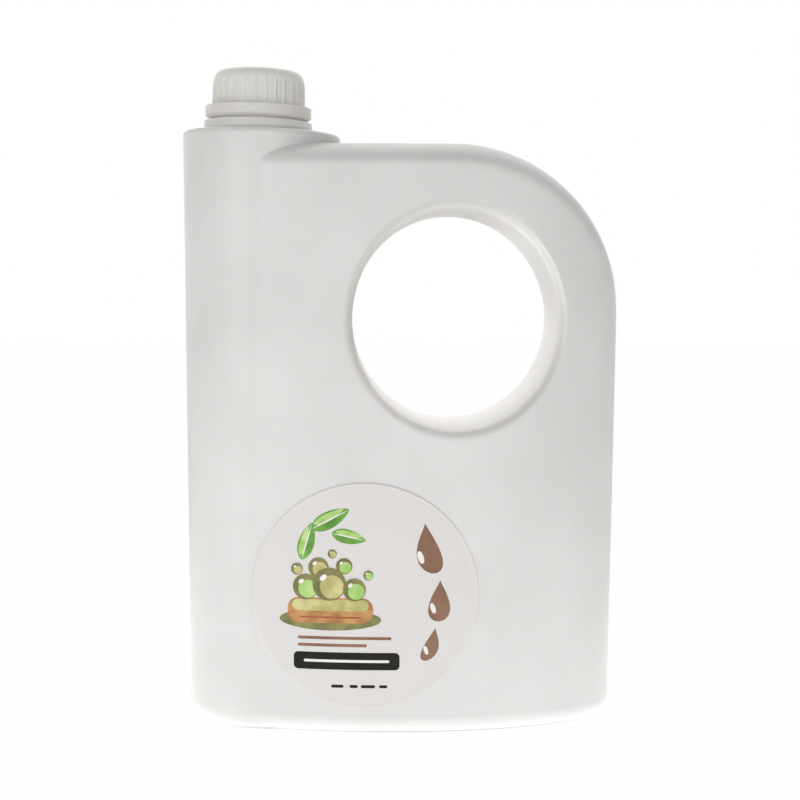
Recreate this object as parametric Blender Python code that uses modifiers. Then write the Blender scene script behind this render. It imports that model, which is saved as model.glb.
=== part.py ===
"""A large refill jug for liquid soap: a blown body with a round hand hole, and a screw cap.

The jug stands on Z = 0 with its label facing -Y. X runs across the face, from the neck
column towards the hand hole. Lengths are in metres.
"""
import math

import bmesh
import bpy
from mathutils import Matrix, Vector

MM = 0.001

# Body, seen from the front
WIDTH = 222.0 * MM
BASE_WIDTH = 216.4 * MM
SHOULDER_HEIGHT = 292.9 * MM
CORNER_RADIUS = 85.5 * MM
BASE_EDGE_RADIUS = 10.0 * MM

# Body, seen from above: a flattened round, fuller at the neck's end
DEPTH = 100.0 * MM
NECK_END_FULLNESS = 2.12
HANDLE_END_FULLNESS = 2.0
TOP_EDGE_RISE = 14.0 * MM

# Round column that carries the neck
COLUMN_RADIUS = 39.8 * MM
COLUMN_HEIGHT = 298.3 * MM
COLUMN_EDGE_RADIUS = 2.4 * MM
COLUMN_BLEND = 9.0 * MM

# Skin and base
WALL = 1.1 * MM
STANDING_RING = 9.0 * MM
PUSH_UP_SLOPE = 9.0 * MM
PUSH_UP_HEIGHT = 3.5 * MM

# Hand hole
HOLE_X = 26.1 * MM
HOLE_Z = 204.6 * MM
HOLE_HALF_WIDTH = 51.2 * MM
HOLE_HALF_HEIGHT = 54.2 * MM
HOLE_EDGE_RADIUS = 3.5 * MM
GRIP_EDGE_RADIUS = 5.5 * MM

# Neck, in heights above the column's top
NECK_OFFSET = 1.9 * MM
NECK_LEAN = math.radians(1.4)
NECK_HEIGHT = 28.0 * MM
NECK_BORE_RADIUS = 17.5 * MM
NECK_WALL = 2.6 * MM
NECK_FOOT = 3.0 * MM
NECK_RIM_CHAMFER = 0.4 * MM
FLANGE_RADIUS = 27.4 * MM
FLANGE_HEIGHT = 5.8 * MM
FLANGE_CHAMFER = 1.0 * MM
GROOVE_RADIUS = 23.3 * MM
BEAD_RADIUS = 24.3 * MM
BEAD_START = 9.5 * MM
BEAD_HEIGHT = 1.8 * MM

# Thread, cut on the neck and in the cap alike
THREAD_PITCH = 4.2 * MM
THREAD_TURNS = 1.5
THREAD_DEPTH = 1.3 * MM
THREAD_WIDTH = 1.6 * MM
THREAD_ROOT = 0.5 * MM
THREAD_RUN_IN = 0.6 * MM

# Cap, liner and tamper band
CAP_RADIUS = 22.8 * MM
CAP_HEIGHT = 18.0 * MM
CAP_DRAFT = 0.4 * MM
CAP_TOP = 1.6 * MM
CAP_EDGE_RADIUS = 5.2 * MM
CAP_INNER_CHAMFER = 1.0 * MM
RIB_COUNT = 30
RIB_HEIGHT = 0.5 * MM
RIB_WIDTH = 1.6 * MM
RIB_END_GAP = 6.0 * MM
LINER_THICKNESS = 1.2 * MM
BAND_RADIUS = 26.9 * MM
BAND_HEIGHT = 6.3 * MM
BAND_CHAMFER = 1.4 * MM
BAND_CHAMFER_WIDTH = 2.2 * MM
BAND_LIP_HEIGHT = 2.3 * MM
BAND_TO_FLANGE = 1.0 * MM

# Label
LABEL_X = -18.7 * MM
LABEL_Z = 69.5 * MM
LABEL_RADIUS = 55.7 * MM
LABEL_THICKNESS = 0.2 * MM

# Contents
FILL_HEIGHT = 277.4 * MM

# Fits
TOUCH = 0.3 * MM
THREAD_CLEARANCE = 0.45 * MM

# Fineness of the facets
SEGMENTS = 36
COLUMN_POINTS = 12
TAIL_POINTS = 12
HOLE_SEGMENTS = 40
THREAD_SEGMENTS = 20
LABEL_SPOKES = 36
LABEL_RINGS = 6

# Worked out from the sizes above
COLUMN_X = -WIDTH / 2 + COLUMN_RADIUS
NECK_X = COLUMN_X - NECK_OFFSET
CORNER_X = WIDTH / 2 - CORNER_RADIUS
CORNER_Z = SHOULDER_HEIGHT - CORNER_RADIUS
NECK_RADIUS = NECK_BORE_RADIUS + NECK_WALL
THREAD_RADIUS = NECK_RADIUS + THREAD_DEPTH
CAP_BORE_RADIUS = THREAD_RADIUS + THREAD_CLEARANCE
CAP_THREAD_RADIUS = CAP_BORE_RADIUS - THREAD_DEPTH
LINER_BASE = NECK_HEIGHT + TOUCH
CAP_CEILING = LINER_BASE + LINER_THICKNESS + TOUCH
CAP_CROWN = CAP_CEILING + CAP_TOP
CAP_FOOT = CAP_CROWN - CAP_HEIGHT
CAP_THREAD_START = CAP_FOOT + THREAD_RUN_IN + THREAD_WIDTH / 2
NECK_THREAD_START = CAP_THREAD_START + THREAD_PITCH / 2
BAND_FOOT = FLANGE_HEIGHT + BAND_TO_FLANGE
BAND_LIP_RADIUS = GROOVE_RADIUS + TOUCH
BAND_BORE_RADIUS = BEAD_RADIUS + TOUCH


def collection(name):
    """A new collection in the scene."""
    made = bpy.data.collections.new(name)
    bpy.context.scene.collection.children.link(made)
    return made


def material(name, color, roughness, alpha=1.0):
    """A Principled material with the piece's colour and roughness."""
    made = bpy.data.materials.new(name)
    made.use_nodes = True
    shader = made.node_tree.nodes["Principled BSDF"]
    shader.inputs["Base Color"].default_value = (*color, 1.0)
    shader.inputs["Roughness"].default_value = roughness
    shader.inputs["Metallic"].default_value = 0.0
    shader.inputs["Alpha"].default_value = alpha
    return made


def add_object(name, mesh, where, look=None, parent=None):
    """An object for a mesh, in its collection, under its parent."""
    made = bpy.data.objects.new(name, mesh)
    where.objects.link(made)
    made.parent = parent
    if look:
        mesh.materials.append(look)
    return made


def smooth(thing, degrees=35):
    """Smooth shading that keeps the sharp edges."""
    thing.data.shade_smooth()
    thing.data.set_sharp_from_angle(angle=math.radians(degrees))


def hide_cutter(thing):
    """A cutter shows as a wire and stays out of the model."""
    thing.hide_render = True
    thing.display_type = "WIRE"
    return thing


def boolean(thing, other, operation):
    """A Boolean modifier on one object with another."""
    made = thing.modifiers.new(other.name, "BOOLEAN")
    made.object = other
    made.operation = operation
    made.solver = "EXACT"
    return made


def skin_rings(name, rings):
    """A closed mesh through rings of equal count, with a flat face at each end."""
    bm = bmesh.new()
    rows = [[bm.verts.new(point) for point in ring] for ring in rings]
    count = len(rows[0])
    for low, high in zip(rows, rows[1:]):
        for i in range(count):
            j = (i + 1) % count
            bm.faces.new((low[i], low[j], high[j], high[i]))
    bm.faces.new(list(reversed(rows[0])))
    bm.faces.new(rows[-1])
    bmesh.ops.recalc_face_normals(bm, faces=bm.faces)
    bmesh.ops.triangulate(bm, faces=bm.faces, quad_method="FIXED")
    mesh = bpy.data.meshes.new(name)
    bm.to_mesh(mesh)
    bm.free()
    return mesh


def turned(name, profile, where, parent, segments=SEGMENTS):
    """A solid of revolution about Z from (radius, height) points, down the outer side first."""
    bm = bmesh.new()
    points = [bm.verts.new((radius, 0.0, height)) for radius, height in profile]
    for a, b in zip(points, points[1:]):
        bm.edges.new((a, b))
    if profile[0][0] > 0.0:
        bm.edges.new((points[-1], points[0]))
    mesh = bpy.data.meshes.new(name)
    bm.to_mesh(mesh)
    bm.free()
    made = add_object(name, mesh, where, parent=parent)
    screw = made.modifiers.new("turn", "SCREW")
    screw.axis = "Z"
    screw.angle = math.tau
    screw.steps = segments
    screw.render_steps = segments
    screw.use_merge_vertices = True
    screw.merge_threshold = 0.00001
    return made


def rounded(centre_radius, centre_height, radius, start, stop, steps):
    """Points on a fillet's arc, with angles in degrees from +X towards +Z."""
    points = []
    for i in range(steps + 1):
        angle = math.radians(start + (stop - start) * i / steps)
        points.append((centre_radius + radius * math.cos(angle), centre_height + radius * math.sin(angle)))
    return points


def base_inset(z, inset):
    """How far the round bottom edge draws the section in at height z."""
    radius = BASE_EDGE_RADIUS - inset
    below = max(0.0, radius - (z - inset))
    return radius - math.sqrt(max(0.0, radius**2 - below**2))


def body_end(z, inset, side):
    """How far the body reaches from the middle at height z, on the neck's side (-1) or the hole's (1)."""
    full_height = CORNER_Z if side > 0 else COLUMN_HEIGHT
    share = min(1.0, z / full_height)
    return (BASE_WIDTH + (WIDTH - BASE_WIDTH) * share) / 2 - inset - base_inset(z, inset)


def top_of_body(x, inset):
    """Height of the body's outline above x: the flat shoulder, then the round corner."""
    if x <= CORNER_X:
        return SHOULDER_HEIGHT - inset
    drop = (CORNER_RADIUS - inset) ** 2 - (x - CORNER_X) ** 2
    return CORNER_Z + math.sqrt(max(0.0, drop))


def body_depth(x, z, inset):
    """Half the body's depth: the flattened round in plan, rounded over along its top."""
    share = abs(x) / body_end(z, inset, 1 if x > 0.0 else -1)
    below = top_of_body(x, inset) - z
    if share >= 1.0 or below <= 0.0:
        return 0.0
    fullness = NECK_END_FULLNESS if x < 0.0 else HANDLE_END_FULLNESS
    plan = (1.0 - share**fullness) ** (1.0 / fullness)
    over = max(0.0, 1.0 - below / (TOP_EDGE_RISE - inset))
    return (DEPTH / 2 - inset - base_inset(z, inset)) * plan * math.sqrt(1.0 - over**2)


def column_side(z, inset):
    """The column's radius before its top edge is rounded, drawn in with the body's draft."""
    draft = WIDTH / 2 - inset - body_end(z, inset, -1)
    return COLUMN_RADIUS - inset - draft / 2


def column_radius(z, inset):
    """The column's radius with its round top edge."""
    edge = max(COLUMN_EDGE_RADIUS - inset, 0.0)
    over = max(0.0, edge - (COLUMN_HEIGHT - inset - z))
    return column_side(z, inset) - edge + math.sqrt(edge**2 - over**2)


def column_centre(z, inset):
    """The column keeps to the body's end as the body draws in."""
    return column_side(z, inset) - body_end(z, inset, -1)


def column_depth(x, z, inset):
    """Half the column's depth at x."""
    return math.sqrt(max(0.0, column_radius(z, inset) ** 2 - (x - column_centre(z, inset)) ** 2))


def half_depth(x, z, inset):
    """Half the jug's depth: the deeper of body and column, blended on the hole's side."""
    body = body_depth(x, z, inset)
    column = column_depth(x, z, inset)
    side = (x - column_centre(z, inset)) / column_radius(z, inset)
    blend = COLUMN_BLEND * min(1.0, max(0.0, side))
    near = max(0.0, blend - abs(body - column))
    if blend <= 0.0 or column <= 0.0 or body <= 0.0:
        return max(body, column)
    return max(body, column) + near**2 / (4 * blend) * min(1.0, column / blend) * min(1.0, body / blend)


def right_end(z, inset):
    """Where the body's section ends on the hole's side."""
    if z <= CORNER_Z:
        return body_end(z, inset, 1)
    drop = (CORNER_RADIUS - inset) ** 2 - (z - CORNER_Z) ** 2
    return CORNER_X + math.sqrt(max(0.0, drop))


def column_end_angle(z, inset):
    """Angle about the column, from its outer side, where its round meets the body's face."""
    centre = column_centre(z, inset)
    radius = column_radius(z, inset)
    low, high = math.pi / 2, math.pi
    for _ in range(40):
        angle = (low + high) / 2
        x = centre - radius * math.cos(angle)
        if body_depth(x, z, inset) < radius * math.sin(angle):
            low = angle
        else:
            high = angle
    return low


def section(z, inset, end_angle, above):
    """One closed ring round the jug at height z. above is its share of the way up the column's top."""
    centre = column_centre(z, inset)
    radius = column_radius(z, inset)
    stations = []
    for i in range(COLUMN_POINTS):
        stations.append(centre - radius * math.cos(end_angle * i / COLUMN_POINTS))
    start = centre - radius * math.cos(end_angle)
    if above > 0.0:
        end = centre + radius
    else:
        end = right_end(z, inset)
    for i in range(TAIL_POINTS + 1):
        stations.append(start + (end - start) * math.sin(math.pi / 2 * i / TAIL_POINTS))
    depths = [half_depth(x, z, inset) for x in stations]
    depths[0] = depths[-1] = 0.0
    front = [(x, -depth) for x, depth in zip(stations, depths)]
    back = [(x, depth) for x, depth in zip(stations[-2:0:-1], depths[-2:0:-1])]
    slope = math.tan(NECK_LEAN) * above
    return [(x, y, z - (x - COLUMN_X) * slope) for x, y in front + back]


def body_heights(inset):
    """Heights of the body's sections from its base edge to just under the shoulder."""
    edge = BASE_EDGE_RADIUS - inset
    foot = [inset + edge * (1.0 - math.cos(math.radians(a))) for a in (30, 50, 70, 90)]
    sides = [foot[-1] + (CORNER_Z - foot[-1]) * share for share in (0.25, 0.5, 0.75, 1.0)]
    top = SHOULDER_HEIGHT - inset
    rise = TOP_EDGE_RISE - inset
    round_over = [top - rise * (1.0 - math.sin(math.radians(a))) for a in (0, 18, 36, 52, 66, 78, 86)]
    corner = []
    angle = 11.0
    while CORNER_Z + CORNER_RADIUS * math.sin(math.radians(angle)) < round_over[0] - 0.004:
        corner.append(CORNER_Z + (CORNER_RADIUS - inset) * math.sin(math.radians(angle)))
        angle += 11.0
    return foot + sides + corner + round_over


def base_rings(inset):
    """The base from its middle out: the push-up, its slope and the flat ring that it stands on."""
    rings = []
    for reach, height in (
        (STANDING_RING + PUSH_UP_SLOPE, PUSH_UP_HEIGHT),
        (STANDING_RING, 0.0),
        (0.0, 0.0),
    ):
        ring = []
        outer = section(inset, inset, column_end_angle(inset, inset), 0.0)
        across = max(x for x, y, z in outer)
        depth = max(y for x, y, z in outer)
        for x, y, z in outer:
            ring.append((x * (1.0 - reach / across), y * (1.0 - reach / depth), inset + height))
        rings.append(ring)
    return rings


def jug_blank(name, inset, where):
    """The jug's outer form, or an inner one that lies an inset inside it, before hole and neck."""
    rings = base_rings(inset)
    for z in body_heights(inset):
        rings.append(section(z, inset, column_end_angle(z, inset), 0.0))
    last_angle = column_end_angle(body_heights(inset)[-1], inset)
    step = SHOULDER_HEIGHT - inset
    top = COLUMN_HEIGHT - inset
    edge = max(COLUMN_EDGE_RADIUS - inset, 0.0)
    for z in (step, top - edge, top - edge * 0.4, top):
        above = max(0.001, (z - step) / (top - step))
        rings.append(section(z, inset, last_angle, above))
    made = add_object(name, skin_rings(name, rings), where)
    return made


def hole_edge_radius(turn):
    """The hole's edge is rounded most where a hand grips it, on the side away from the neck."""
    share = (1.0 + math.cos(turn)) / 2
    return HOLE_EDGE_RADIUS + (GRIP_EDGE_RADIUS - HOLE_EDGE_RADIUS) * share


def hole_cutter(name, inset, where):
    """What passes through the hand hole, flared to round the hole's edge over on both faces."""
    angles = (0, 20, 40, 58, 72)
    rings = [[] for _ in range(len(angles) + 1)]
    for i in range(HOLE_SEGMENTS):
        turn = math.tau * i / HOLE_SEGMENTS
        radius = hole_edge_radius(turn)
        rim = Vector((HOLE_HALF_WIDTH * math.cos(turn), HOLE_HALF_HEIGHT * math.sin(turn)))
        out = Vector((HOLE_HALF_HEIGHT * math.cos(turn), HOLE_HALF_WIDTH * math.sin(turn))).normalized()
        centre = Vector((HOLE_X, HOLE_Z))
        at_rim = centre + rim
        at_tangent = at_rim + out * radius
        rim_depth = half_depth(at_rim.x, at_rim.y, 0.0)
        tangent_depth = half_depth(at_tangent.x, at_tangent.y, 0.0)
        face = min(rim_depth, tangent_depth + 0.4 * (rim_depth - tangent_depth))
        for ring, angle in zip(rings, angles):
            swing = math.radians(angle)
            point = at_rim + out * (radius - (radius - inset) * math.cos(swing))
            ring.append((point.x, face - radius + (radius - inset) * math.sin(swing), point.y))
        x, y, z = rings[-2][-1]
        rings[-1].append((x + out.x * radius / 2, DEPTH / 2 + radius, z + out.y * radius / 2))
    front = [[(x, -y, z) for x, y, z in ring] for ring in reversed(rings)]
    return hide_cutter(add_object(name, skin_rings(name, front + rings), where))


def thread_ridge(name, root_radius, tip_radius, start, turns, where, parent):
    """A helical ridge of one thread, sunk into the wall that carries it, with tapered ends."""
    steps = max(8, round(turns * THREAD_SEGMENTS))
    rings = []
    for i in range(steps + 1):
        share = i / steps
        turn = math.tau * turns * share
        ends = min(1.0, 0.15 + 6.0 * min(share, 1.0 - share))
        tip = root_radius + (tip_radius - root_radius) * ends
        height = start + THREAD_PITCH * turns * share
        half = THREAD_WIDTH / 2
        ring = []
        for radius, rise in ((root_radius, -half), (tip, -half / 2), (tip, half / 2), (root_radius, half)):
            ring.append((radius * math.cos(turn), radius * math.sin(turn), height + rise))
        rings.append(ring)
    return hide_cutter(add_object(name, skin_rings(name, rings), where, parent=parent))


def neck_blank(where, parent):
    """The neck without its bore: foot, flange, groove, bead and the tube that the thread is on."""
    profile = [
        (0.0, NECK_HEIGHT),
        (NECK_RADIUS - NECK_RIM_CHAMFER, NECK_HEIGHT),
        (NECK_RADIUS, NECK_HEIGHT - NECK_RIM_CHAMFER),
        (NECK_RADIUS, BEAD_START + BEAD_HEIGHT + (BEAD_RADIUS - NECK_RADIUS) / 2),
        (BEAD_RADIUS, BEAD_START + BEAD_HEIGHT),
        (BEAD_RADIUS, BEAD_START),
        (GROOVE_RADIUS, BEAD_START),
        (GROOVE_RADIUS, FLANGE_HEIGHT),
        (FLANGE_RADIUS - FLANGE_CHAMFER, FLANGE_HEIGHT),
        (FLANGE_RADIUS, FLANGE_HEIGHT - FLANGE_CHAMFER),
        (FLANGE_RADIUS, -NECK_FOOT),
        (0.0, -NECK_FOOT),
    ]
    return hide_cutter(turned("neck_form", profile, where, parent))


def make_bottle(where, cutters, neck_axis, look):
    """The blown bottle: one hollow skin with a neck, a hand hole and a pushed-up base."""
    bottle = jug_blank("bottle", 0.0, where)
    bottle.data.materials.append(look)
    hollow = hide_cutter(jug_blank("hollow_form", WALL, cutters))
    outer_hole = hole_cutter("hand_hole", 0.0, cutters)
    inner_hole = hole_cutter("hand_hole_skin", WALL, cutters)
    neck = neck_blank(cutters, neck_axis)
    ridge = thread_ridge(
        "neck_thread", NECK_RADIUS - THREAD_ROOT, THREAD_RADIUS, NECK_THREAD_START, THREAD_TURNS, cutters, neck_axis
    )
    bore_profile = [
        (0.0, NECK_HEIGHT + NECK_FOOT),
        (NECK_BORE_RADIUS, NECK_HEIGHT + NECK_FOOT),
        (NECK_BORE_RADIUS, -2 * NECK_FOOT),
        (0.0, -2 * NECK_FOOT),
    ]
    bore = hide_cutter(turned("neck_bore", bore_profile, cutters, neck_axis))
    boolean(hollow, inner_hole, "DIFFERENCE")
    boolean(hollow, bore, "UNION")
    boolean(neck, ridge, "UNION")
    boolean(bottle, neck, "UNION")
    boolean(bottle, outer_hole, "DIFFERENCE")
    boolean(bottle, hollow, "DIFFERENCE")
    smooth(bottle)
    return bottle


def make_soap(where, cutters, look):
    """The soap inside: the hollow's form, less a hair's gap, up to the fill height."""
    inset = WALL + TOUCH
    soap = jug_blank("soap_fill", inset, where)
    soap.data.materials.append(look)
    boolean(soap, hole_cutter("hand_hole_soap", inset, cutters), "DIFFERENCE")
    bm = bmesh.new()
    bmesh.ops.create_cube(bm, size=1.0)
    mesh = bpy.data.meshes.new("above_soap")
    bm.to_mesh(mesh)
    bm.free()
    above = hide_cutter(add_object("above_soap", mesh, cutters))
    height = COLUMN_HEIGHT - FILL_HEIGHT + BASE_EDGE_RADIUS
    above.scale = (2 * WIDTH, 2 * DEPTH, height)
    above.location.z = FILL_HEIGHT + height / 2
    boolean(soap, above, "DIFFERENCE")
    smooth(soap)
    return soap


def make_label(where, look):
    """The round label on the front: a thin disc that follows the body's face."""
    spokes = LABEL_SPOKES
    bm = bmesh.new()

    def sheet(offset):
        centre = bm.verts.new((LABEL_X, -half_depth(LABEL_X, LABEL_Z, 0.0) - offset, LABEL_Z))
        rows = []
        for r in range(1, LABEL_RINGS + 1):
            reach = LABEL_RADIUS * r / LABEL_RINGS
            row = []
            for s in range(spokes):
                turn = math.tau * s / spokes
                x = LABEL_X + reach * math.cos(turn)
                z = LABEL_Z + reach * math.sin(turn)
                row.append(bm.verts.new((x, -half_depth(x, z, 0.0) - offset, z)))
            rows.append(row)
        for s in range(spokes):
            bm.faces.new((centre, rows[0][s], rows[0][(s + 1) % spokes]))
        for inner, outer in zip(rows, rows[1:]):
            for s in range(spokes):
                t = (s + 1) % spokes
                bm.faces.new((inner[s], outer[s], outer[t], inner[t]))
        return rows[-1]

    back = sheet(TOUCH)
    front = sheet(TOUCH + LABEL_THICKNESS)
    for s in range(spokes):
        t = (s + 1) % spokes
        bm.faces.new((back[s], back[t], front[t], front[s]))
    bmesh.ops.recalc_face_normals(bm, faces=bm.faces)
    mesh = bpy.data.meshes.new("front_label")
    bm.to_mesh(mesh)
    bm.free()
    label = add_object("front_label", mesh, where, look)
    smooth(label)
    return label


def make_band(where, parent, look):
    """The tamper band under the cap, held on the neck by its lip under the bead."""
    top = BAND_FOOT + BAND_HEIGHT
    profile = [
        (BAND_RADIUS, top),
        (BAND_RADIUS, BAND_FOOT + BAND_CHAMFER),
        (BAND_RADIUS - BAND_CHAMFER_WIDTH, BAND_FOOT),
        (BAND_LIP_RADIUS, BAND_FOOT),
        (BAND_LIP_RADIUS, BAND_FOOT + BAND_LIP_HEIGHT),
        (BAND_BORE_RADIUS, BAND_FOOT + BAND_LIP_HEIGHT),
        (BAND_BORE_RADIUS, top - BAND_CHAMFER),
        (CAP_BORE_RADIUS, top),
    ]
    band = turned("tamper_band", profile, where, parent)
    band.data.materials.append(look)
    smooth(band)
    return band


def make_cap(where, cutters, parent, look):
    """The screw cap: a turned shell with a round top edge, outer ribs and an inner thread."""
    foot_radius = CAP_RADIUS + CAP_DRAFT
    crown = rounded(CAP_RADIUS - CAP_EDGE_RADIUS, CAP_CROWN - CAP_EDGE_RADIUS, CAP_EDGE_RADIUS, 90, 0, 5)
    profile = [(0.0, CAP_CROWN)] + crown + [
        (foot_radius, CAP_FOOT),
        (CAP_BORE_RADIUS, CAP_FOOT),
        (CAP_BORE_RADIUS, CAP_CEILING - CAP_INNER_CHAMFER),
        (CAP_BORE_RADIUS - CAP_INNER_CHAMFER, CAP_CEILING),
        (0.0, CAP_CEILING),
    ]
    cap = turned("screw_cap", profile, where, parent)
    cap.data.materials.append(look)
    bm = bmesh.new()
    low = CAP_FOOT + RIB_HEIGHT
    high = CAP_CROWN - RIB_END_GAP
    for i in range(RIB_COUNT):
        turn = math.tau * (i + 0.5) / RIB_COUNT
        made = bmesh.ops.create_cube(bm, size=1.0)["verts"]
        for v in made:
            tip = v.co.x > 0.0
            width = RIB_WIDTH * (0.5 if tip else 1.0)
            outer = CAP_RADIUS + RIB_HEIGHT + (CAP_DRAFT if v.co.z < 0.0 else 0.0)
            x = outer if tip else CAP_RADIUS - RIB_HEIGHT
            v.co = (x, v.co.y * width, low if v.co.z < 0.0 else high)
        bmesh.ops.rotate(bm, verts=made, cent=(0, 0, 0), matrix=Matrix.Rotation(turn, 3, "Z"))
    mesh = bpy.data.meshes.new("cap_ribs")
    bm.to_mesh(mesh)
    bm.free()
    ribs = hide_cutter(add_object("cap_ribs", mesh, cutters, parent=parent))
    ridge = thread_ridge(
        "cap_thread",
        CAP_BORE_RADIUS + THREAD_ROOT,
        CAP_THREAD_RADIUS,
        CAP_THREAD_START,
        THREAD_TURNS,
        cutters,
        parent,
    )
    boolean(cap, ribs, "UNION")
    boolean(cap, ridge, "UNION")
    smooth(cap)
    return cap


def make_liner(where, parent, look):
    """The foam liner that the cap presses on the neck's rim."""
    radius = NECK_RADIUS + TOUCH
    top = LINER_BASE + LINER_THICKNESS
    profile = [(0.0, top), (radius, top), (radius, LINER_BASE), (0.0, LINER_BASE)]
    liner = turned("cap_liner", profile, where, parent)
    liner.data.materials.append(look)
    smooth(liner)
    return liner


for thing in list(bpy.data.objects):
    bpy.data.objects.remove(thing, do_unlink=True)

parts = collection("refill_jug")
cutters = collection("cutters")
milky = material("milky_plastic", (0.86, 0.86, 0.85), 0.42)
white = material("white_plastic", (0.84, 0.85, 0.82), 0.38)
foam = material("white_foam", (0.9, 0.9, 0.88), 0.8)
clear = material("clear_film", (0.88, 0.88, 0.87), 0.2)
cream = material("soap", (0.93, 0.92, 0.88), 0.3)

neck_axis = bpy.data.objects.new("neck_axis", None)
parts.objects.link(neck_axis)
neck_axis.location = (NECK_X, 0.0, COLUMN_HEIGHT - (NECK_X - COLUMN_X) * math.tan(NECK_LEAN))
neck_axis.rotation_euler = (0.0, NECK_LEAN, 0.0)

make_bottle(parts, cutters, neck_axis, milky)
make_soap(parts, cutters, cream)
make_label(parts, clear)
make_band(parts, neck_axis, white)
make_cap(parts, cutters, neck_axis, white)
make_liner(parts, neck_axis, foam)
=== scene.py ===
"""A large milky refill jug for liquid hand soap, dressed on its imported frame.

The script runs from top to bottom: the view and its light, then the jug, its neck, the tamper
band, the screw cap, the liner, the label with its print, and the soap inside. Lengths are in
metres in the frame's own axes: +Z up, the label towards -Y.
"""
import math

import bmesh
import bpy
from mathutils import Matrix, Vector


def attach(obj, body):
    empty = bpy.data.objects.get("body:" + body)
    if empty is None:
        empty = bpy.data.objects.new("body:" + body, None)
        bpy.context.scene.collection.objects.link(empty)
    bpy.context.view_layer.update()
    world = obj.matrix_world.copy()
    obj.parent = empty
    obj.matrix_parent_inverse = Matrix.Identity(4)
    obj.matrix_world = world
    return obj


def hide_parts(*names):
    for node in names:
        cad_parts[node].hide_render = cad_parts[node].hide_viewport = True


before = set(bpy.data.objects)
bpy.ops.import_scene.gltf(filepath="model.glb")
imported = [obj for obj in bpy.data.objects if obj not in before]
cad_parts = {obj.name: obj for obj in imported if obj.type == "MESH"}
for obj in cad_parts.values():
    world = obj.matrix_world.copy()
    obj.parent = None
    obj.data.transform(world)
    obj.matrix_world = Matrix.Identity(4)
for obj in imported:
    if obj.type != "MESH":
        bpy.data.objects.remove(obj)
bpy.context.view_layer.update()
MM = 0.001


# View and light. The jug stands on a white sweep under broad soft panels, a little below the
# camera's eye. The camera stands left of the middle, as the inner wall of the hand hole shows.
CAMERA_PLACE = Vector((-25.0, -831.4, 218.5)) * MM
CAMERA_PITCH = 0.0670
CAMERA_YAW = 0.0296
CAMERA_ROLL = 0.0030
CAMERA_LENS_MM = 72.67
SENSOR_WIDTH_MM = 36.0
SWEEP_SIZE = 12.0
SWEEP_PARTS = 12


def linear(code):
    """A colour written as sRGB hex, in the linear values that shaders take."""
    values = [int(code[i : i + 2], 16) / 255 for i in (1, 3, 5)]
    curve = [v / 12.92 if v <= 0.04045 else ((v + 0.055) / 1.055) ** 2.4 for v in values]
    return (*curve, 1.0)


def node(tree, kind, settings=None, **links):
    """Adds a node, with its settings by name or socket and its links by socket name."""
    made = tree.nodes.new(kind)
    for name, value in (settings or {}).items():
        if isinstance(name, int) or name in made.inputs:
            made.inputs[name].default_value = value
        else:
            setattr(made, name, value)
    for name, source in links.items():
        key = name.replace("_", " ")
        if key[0] == "i" and key[1:].isdigit():
            key = int(key[1:])
        tree.links.new(source, made.inputs[key])
    return made


camera_data = bpy.data.cameras.new("photo_camera")
camera_data.lens = CAMERA_LENS_MM
camera_data.sensor_width = SENSOR_WIDTH_MM
camera_data.clip_start = 0.01
camera = bpy.data.objects.new("photo_camera", camera_data)
bpy.context.scene.collection.objects.link(camera)
camera.location = CAMERA_PLACE
look = Vector((math.sin(CAMERA_YAW), math.cos(CAMERA_YAW), -math.tan(CAMERA_PITCH)))
turn = look.to_track_quat("-Z", "Y").to_matrix().to_4x4() @ Matrix.Rotation(CAMERA_ROLL, 4, "Z")
camera.rotation_euler = turn.to_euler()
bpy.context.scene.camera = camera
bpy.context.scene.view_settings.view_transform = "Standard"

world = bpy.data.worlds.new("studio")
world.use_nodes = True
bpy.context.scene.world = world
tree = world.node_tree
tree.nodes.clear()
# The camera sees plain white. What lights the jug is a room that fades along each axis, from
# one level to another between two places on it.
path = node(tree, "ShaderNodeLightPath")
rays = {"i0": path.outputs["Is Camera Ray"], "i1": path.outputs["Is Transmission Ray"]}
seen = node(tree, "ShaderNodeMath", {"operation": "MAXIMUM"}, **rays)
where = node(tree, "ShaderNodeTexCoord")
split = node(tree, "ShaderNodeSeparateXYZ", Vector=where.outputs["Object"])
side = node(tree, "ShaderNodeMath", {"operation": "ABSOLUTE"}, i0=split.outputs["X"])
level = None
for way, start, end, near, far in (
    (side.outputs[0], 0.35, 0.95, 1.0, 0.35),  # dim to both sides
    (split.outputs["Y"], -0.3, 0.5, 0.36, 1.5),  # a bright sweep behind
    (split.outputs["X"], 0.3, 0.9, 1.0, 0.82),  # a shade dimmer on the right
    (split.outputs["Z"], 0.25, 0.9, 1.0, 1.1),  # a shade brighter above
):
    ends = {"From Min": start, "From Max": end, "To Min": near, "To Max": far}
    fade = node(tree, "ShaderNodeMapRange", ends, Value=way).outputs[0]
    if level is not None:
        fade = node(tree, "ShaderNodeMath", {"operation": "MULTIPLY"}, i0=level, i1=fade).outputs[0]
    level = fade
soft = node(tree, "ShaderNodeBackground", {"Color": linear("#F4F2F0")}, Strength=level)
white = node(tree, "ShaderNodeBackground", {"Color": linear("#FFFFFF"), "Strength": 1.0})
mix = node(tree, "ShaderNodeMixShader", i0=seen.outputs[0], i1=soft.outputs[0], i2=white.outputs[0])
node(tree, "ShaderNodeOutputWorld", Surface=mix.outputs[0])

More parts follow.
